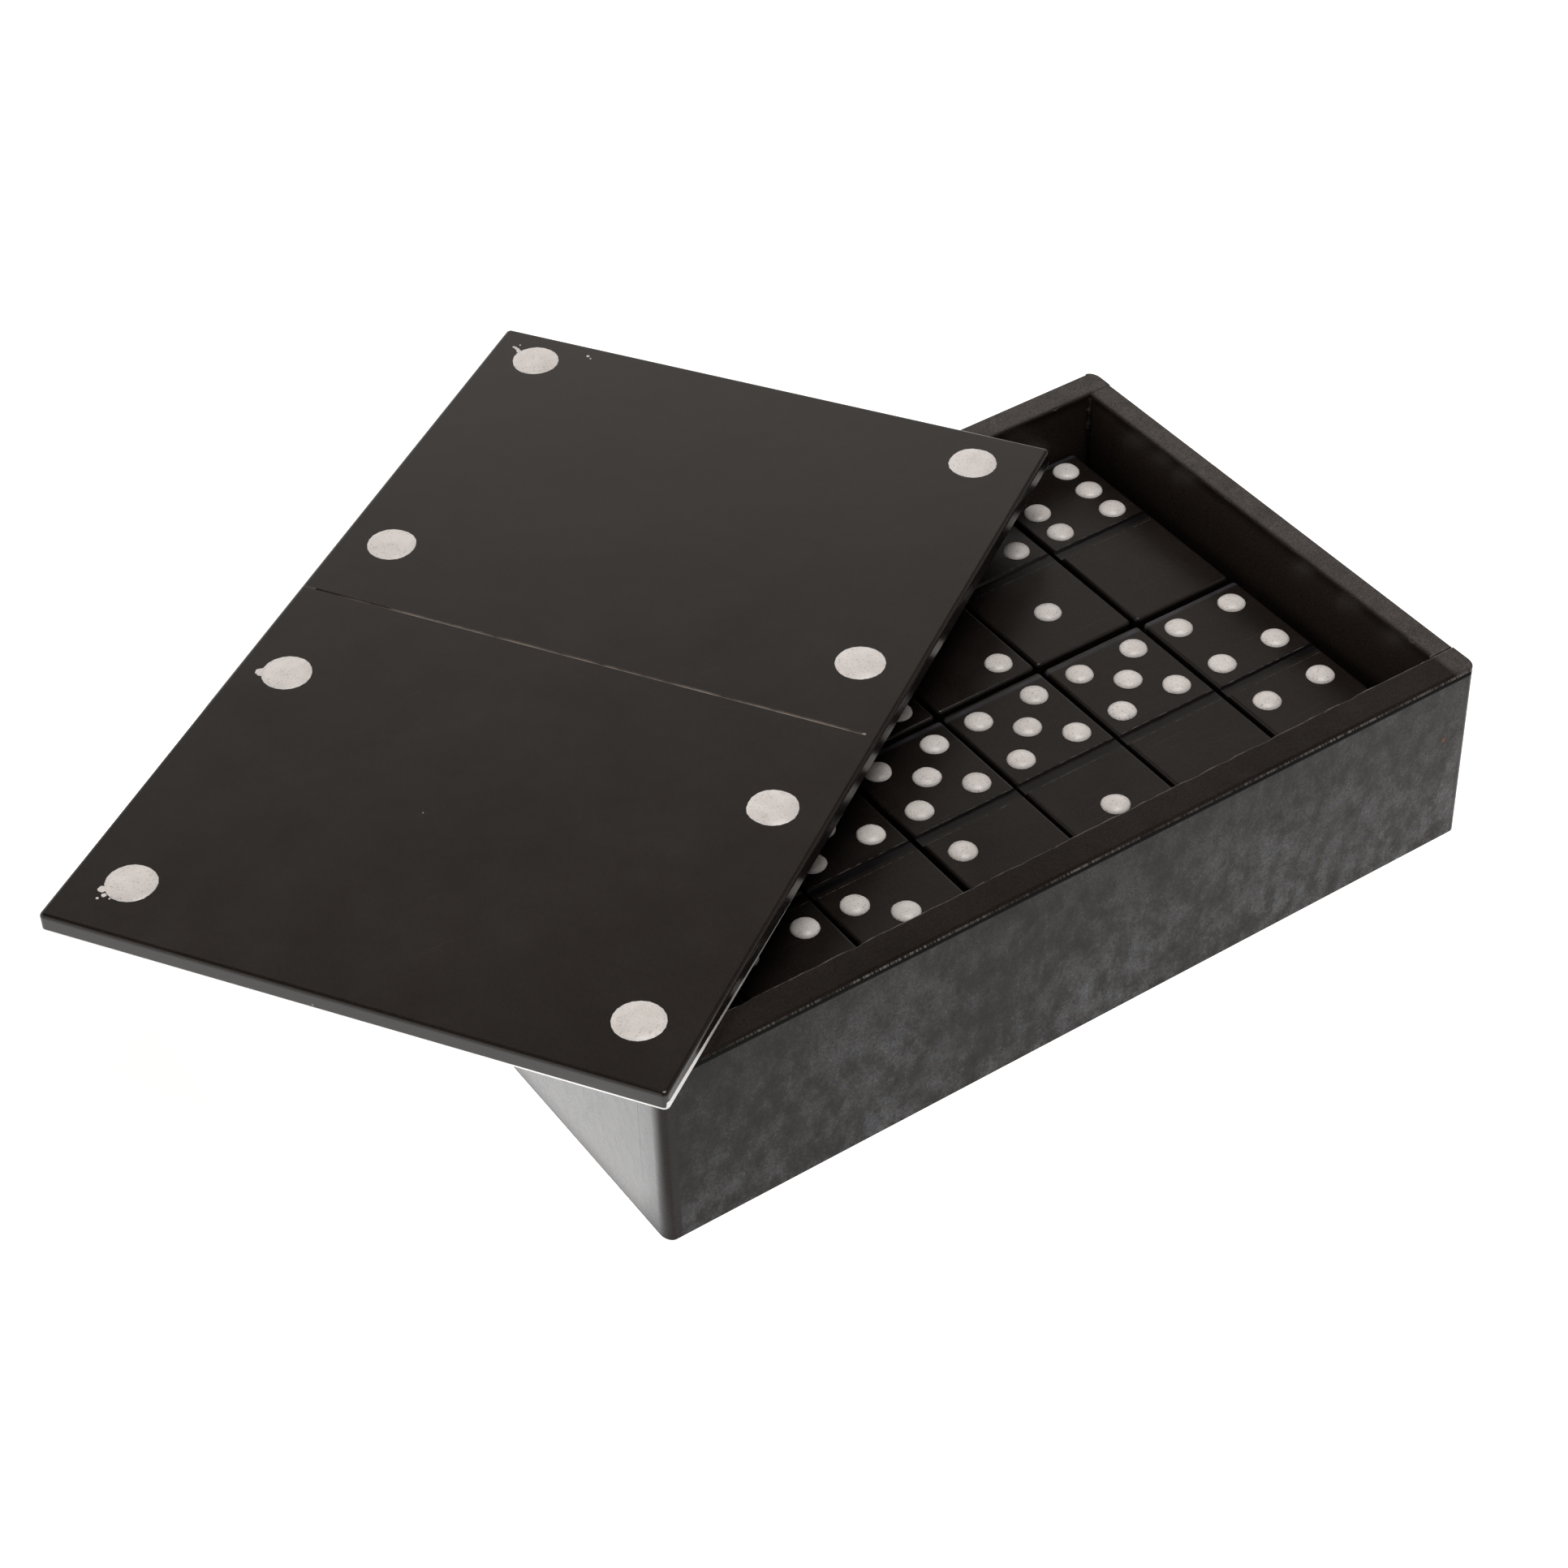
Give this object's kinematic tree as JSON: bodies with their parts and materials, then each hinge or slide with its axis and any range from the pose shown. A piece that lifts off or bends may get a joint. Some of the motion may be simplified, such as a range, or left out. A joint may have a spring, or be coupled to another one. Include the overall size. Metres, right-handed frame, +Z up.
{
  "type": "boxed domino set",
  "caption": "Open black stone box of dominoes in two layers, with a loose flat lid cut like a giant domino lying turned on the rim.",
  "frame": {"origin": "centre of the box's underside", "axes": "+X along the box towards the uncovered end, +Y towards the box's back, +Z up"},
  "size_m": [0.2739, 0.2228, 0.0497],
  "materials": {
    "black_marble": "polished black marble",
    "box_marble": "honed black marble with a slate-grey bloom",
    "cream_resin": "poured resin, slightly domed"
  },
  "bodies": {
    "box": {"long_walls": "box_marble", "end_walls": "box_marble", "floor_slab": "box_marble"},
    "lid": {"lid_slab": "black_marble", "lid_pips": "cream_resin"},
    "domino_0_0": {"tile_0_0": "black_marble"},
    "domino_6_0": {"tile_6_0": "black_marble", "pips_6_0": "cream_resin"},
    "domino_1_0": {"tile_1_0": "black_marble", "pips_1_0": "cream_resin"},
    "domino_6_1": {"tile_6_1": "black_marble", "pips_6_1": "cream_resin"},
    "domino_1_1": {"tile_1_1": "black_marble", "pips_1_1": "cream_resin"},
    "domino_6_2": {"tile_6_2": "black_marble", "pips_6_2": "cream_resin"},
    "domino_2_0": {"tile_2_0": "black_marble", "pips_2_0": "cream_resin"},
    "domino_6_3": {"tile_6_3": "black_marble", "pips_6_3": "cream_resin"},
    "domino_2_1": {"tile_2_1": "black_marble", "pips_2_1": "cream_resin"},
    "domino_6_4": {"tile_6_4": "black_marble", "pips_6_4": "cream_resin"},
    "domino_2_2": {"tile_2_2": "black_marble", "pips_2_2": "cream_resin"},
    "domino_6_5": {"tile_6_5": "black_marble", "pips_6_5": "cream_resin"},
    "domino_3_0": {"tile_3_0": "black_marble", "pips_3_0": "cream_resin"},
    "domino_6_6": {"tile_6_6": "black_marble", "pips_6_6": "cream_resin"},
    "domino_3_1": {"tile_3_1": "black_marble", "pips_3_1": "cream_resin"},
    "domino_4_4": {"tile_4_4": "black_marble", "pips_4_4": "cream_resin"},
    "domino_3_2": {"tile_3_2": "black_marble", "pips_3_2": "cream_resin"},
    "domino_5_0": {"tile_5_0": "black_marble", "pips_5_0": "cream_resin"},
    "domino_3_3": {"tile_3_3": "black_marble", "pips_3_3": "cream_resin"},
    "domino_5_1": {"tile_5_1": "black_marble", "pips_5_1": "cream_resin"},
    "domino_4_0": {"tile_4_0": "black_marble", "pips_4_0": "cream_resin"},
    "domino_5_2": {"tile_5_2": "black_marble", "pips_5_2": "cream_resin"},
    "domino_4_1": {"tile_4_1": "black_marble", "pips_4_1": "cream_resin"},
    "domino_5_3": {"tile_5_3": "black_marble", "pips_5_3": "cream_resin"},
    "domino_4_2": {"tile_4_2": "black_marble", "pips_4_2": "cream_resin"},
    "domino_5_4": {"tile_5_4": "black_marble", "pips_5_4": "cream_resin"},
    "domino_4_3": {"tile_4_3": "black_marble", "pips_4_3": "cream_resin"},
    "domino_5_5": {"tile_5_5": "black_marble", "pips_5_5": "cream_resin"}
  },
  "joints": [
    {"name": "lid_lift", "type": "slide", "parent": "box", "child": "lid", "axis": [0, 0, 1], "range_m": [0, 0.08]},
    {"name": "lift_0_0", "type": "slide", "parent": "box", "child": "domino_0_0", "axis": [0, 0, 1], "range_m": [0, 0.012]},
    {"name": "lift_6_0", "type": "slide", "parent": "domino_0_0", "child": "domino_6_0", "axis": [0, 0, 1], "range_m": [0, 0.012]},
    {"name": "lift_1_0", "type": "slide", "parent": "box", "child": "domino_1_0", "axis": [0, 0, 1], "range_m": [0, 0.012]},
    {"name": "lift_6_1", "type": "slide", "parent": "domino_1_0", "child": "domino_6_1", "axis": [0, 0, 1], "range_m": [0, 0.012]},
    {"name": "lift_1_1", "type": "slide", "parent": "box", "child": "domino_1_1", "axis": [0, 0, 1], "range_m": [0, 0.012]},
    {"name": "lift_6_2", "type": "slide", "parent": "domino_1_1", "child": "domino_6_2", "axis": [0, 0, 1], "range_m": [0, 0.012]},
    {"name": "lift_2_0", "type": "slide", "parent": "box", "child": "domino_2_0", "axis": [0, 0, 1], "range_m": [0, 0.012]},
    {"name": "lift_6_3", "type": "slide", "parent": "domino_2_0", "child": "domino_6_3", "axis": [0, 0, 1], "range_m": [0, 0.012]},
    {"name": "lift_2_1", "type": "slide", "parent": "box", "child": "domino_2_1", "axis": [0, 0, 1], "range_m": [0, 0.012]},
    {"name": "lift_6_4", "type": "slide", "parent": "domino_2_1", "child": "domino_6_4", "axis": [0, 0, 1], "range_m": [0, 0.012]},
    {"name": "lift_2_2", "type": "slide", "parent": "box", "child": "domino_2_2", "axis": [0, 0, 1], "range_m": [0, 0.012]},
    {"name": "lift_6_5", "type": "slide", "parent": "domino_2_2", "child": "domino_6_5", "axis": [0, 0, 1], "range_m": [0, 0.012]},
    {"name": "lift_3_0", "type": "slide", "parent": "box", "child": "domino_3_0", "axis": [0, 0, 1], "range_m": [0, 0.012]},
    {"name": "lift_6_6", "type": "slide", "parent": "domino_3_0", "child": "domino_6_6", "axis": [0, 0, 1], "range_m": [0, 0.012]},
    {"name": "lift_3_1", "type": "slide", "parent": "box", "child": "domino_3_1", "axis": [0, 0, 1], "range_m": [0, 0.06]},
    {"name": "lift_4_4", "type": "slide", "parent": "domino_3_1", "child": "domino_4_4", "axis": [0, 0, 1], "range_m": [0, 0.045]},
    {"name": "lift_3_2", "type": "slide", "parent": "box", "child": "domino_3_2", "axis": [0, 0, 1], "range_m": [0, 0.06]},
    {"name": "lift_5_0", "type": "slide", "parent": "domino_3_2", "child": "domino_5_0", "axis": [0, 0, 1], "range_m": [0, 0.045]},
    {"name": "lift_3_3", "type": "slide", "parent": "box", "child": "domino_3_3", "axis": [0, 0, 1], "range_m": [0, 0.06]},
    {"name": "lift_5_1", "type": "slide", "parent": "domino_3_3", "child": "domino_5_1", "axis": [0, 0, 1], "range_m": [0, 0.045]},
    {"name": "lift_4_0", "type": "slide", "parent": "box", "child": "domino_4_0", "axis": [0, 0, 1], "range_m": [0, 0.012]},
    {"name": "lift_5_2", "type": "slide", "parent": "domino_4_0", "child": "domino_5_2", "axis": [0, 0, 1], "range_m": [0, 0.012]},
    {"name": "lift_4_1", "type": "slide", "parent": "box", "child": "domino_4_1", "axis": [0, 0, 1], "range_m": [0, 0.012]},
    {"name": "lift_5_3", "type": "slide", "parent": "domino_4_1", "child": "domino_5_3", "axis": [0, 0, 1], "range_m": [0, 0.012]},
    {"name": "lift_4_2", "type": "slide", "parent": "box", "child": "domino_4_2", "axis": [0, 0, 1], "range_m": [0, 0.012]},
    {"name": "lift_5_4", "type": "slide", "parent": "domino_4_2", "child": "domino_5_4", "axis": [0, 0, 1], "range_m": [0, 0.012]},
    {"name": "lift_4_3", "type": "slide", "parent": "box", "child": "domino_4_3", "axis": [0, 0, 1], "range_m": [0, 0.012]},
    {"name": "lift_5_5", "type": "slide", "parent": "domino_4_3", "child": "domino_5_5", "axis": [0, 0, 1], "range_m": [0, 0.012]}
  ]
}
